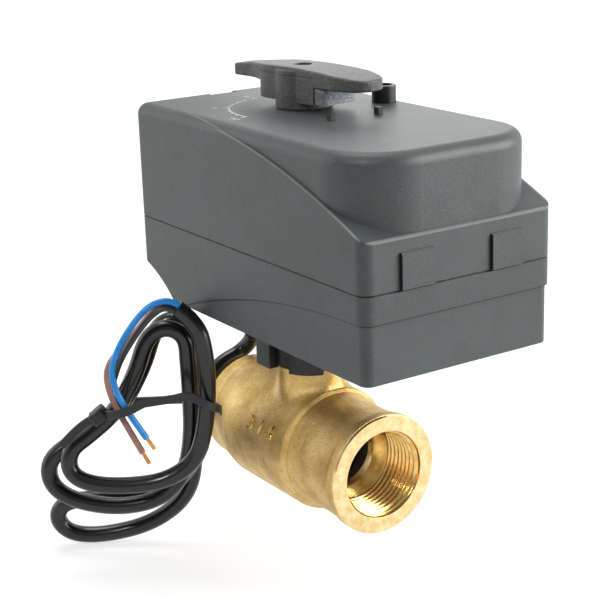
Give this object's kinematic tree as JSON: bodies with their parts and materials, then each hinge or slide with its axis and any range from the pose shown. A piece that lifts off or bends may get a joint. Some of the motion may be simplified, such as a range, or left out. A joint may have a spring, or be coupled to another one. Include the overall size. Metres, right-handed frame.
{
  "type": "electric water valve",
  "caption": "Two-way brass ball valve with threaded ports, turned by a geared electric actuator with a hand lever, a release button and a tied connection lead.",
  "frame": {"origin": "centre of the front port's mouth, on the pipe axis", "axes": "+X along the pipe axis, out of the front port; +Z along the stem, up to the lever; +Y across, to the release button's side"},
  "size_m": [0.1282, 0.1019, 0.1513],
  "materials": {
    "housing_plastic": "moulded, fine texture, anthracite",
    "gasket_rubber": "soft black",
    "brass": "cast, sand-blasted, machined at the ports",
    "chrome": "polished",
    "seat_plastic": "smooth dark",
    "steel": "zinc plated",
    "black_plastic": "smooth black",
    "gear_plastic": "natural acetal",
    "motor_steel": "plated can",
    "board": "solder resist",
    "terminal_plastic": "satin grey",
    "lever_grey": "fine texture, olive grey",
    "insert_grey": "coarse texture, blue-grey",
    "cable_sheath": "satin dark grey sheath",
    "wire_blue": "insulation",
    "wire_brown": "insulation",
    "wire_black": "insulation",
    "copper": "bare strands"
  },
  "bodies": {
    "housing": {"valve_body": "brass", "valve_end": "brass", "seat_rings": "seat_plastic", "gland_nut": "brass", "mounting_adapter": "black_plastic", "adapter_grub_screw": "steel", "adapter_screws": "steel", "housing_base": "housing_plastic", "housing_cover": "housing_plastic", "housing_gasket": "gasket_rubber", "housing_screws": "steel", "shaft_seal": "gasket_rubber", "gearbox_lower_plate": "steel", "gearbox_upper_plate": "steel", "gearbox_spacers": "steel", "gearbox_screws": "steel", "gear_axles": "steel", "motor": "motor_steel", "motor_screws": "steel", "circuit_board": "board", "board_standoffs": "gear_plastic", "board_components": "black_plastic", "terminal_block": "terminal_plastic", "limit_switches": "black_plastic", "button_guide": "black_plastic", "button_spring": "steel", "cable_gland": "gasket_rubber", "cable_lead": "cable_sheath", "cable_hank": "cable_sheath", "cable_tie": "black_plastic", "wire_blue": "wire_blue", "wire_brown": "wire_brown", "wire_black": "wire_black", "wire_tips": "copper"},
    "shaft_line": {"ball": "chrome", "stem": "brass", "stem_seals": "gasket_rubber", "stem_coupling": "black_plastic", "output_shaft": "steel", "output_gear": "steel", "cam_lower": "gear_plastic", "cam_upper": "gear_plastic", "lever": "lever_grey", "lever_insert": "insert_grey", "lever_screw": "steel"},
    "gear_2": {"gear_2": "gear_plastic"},
    "gear_1": {"gear_1": "gear_plastic"},
    "motor_pinion": {"motor_pinion": "steel"},
    "button": {"release_button": "black_plastic"}
  },
  "joints": [
    {"name": "lever_turn", "type": "hinge", "parent": "housing", "child": "shaft_line", "pos_m": [-0.036, 0, 0], "axis": [0, 0, 1], "range_deg": [0, 90]},
    {"name": "gear_2_spin", "type": "hinge", "parent": "housing", "child": "gear_2", "pos_m": [-0.01521, -0.012, 0], "axis": [0, 0, 1], "range_deg": [-275, 5]},
    {"name": "gear_1_spin", "type": "hinge", "parent": "housing", "child": "gear_1", "pos_m": [0.00034, 0.00356, 0], "axis": [0, 0, 1], "range_deg": [-5, 725]},
    {"name": "motor_spin", "type": "hinge", "parent": "housing", "child": "motor_pinion", "pos_m": [0.02101, -0.00397, 0], "axis": [0, 0, 1], "range_deg": [-1925, 5]},
    {"name": "button_press", "type": "slide", "parent": "housing", "child": "button", "axis": [0, 0, -1], "range_m": [0, 0.002], "stiffness_N_per_m": 500, "springref_m": -0.003, "deforming": ["button_spring"]}
  ],
  "couplings": [
    {"joint": "gear_2_spin", "follows": "lever_turn", "ratio": -3},
    {"joint": "gear_1_spin", "follows": "lever_turn", "ratio": 8},
    {"joint": "motor_spin", "follows": "lever_turn", "ratio": -21.333}
  ]
}
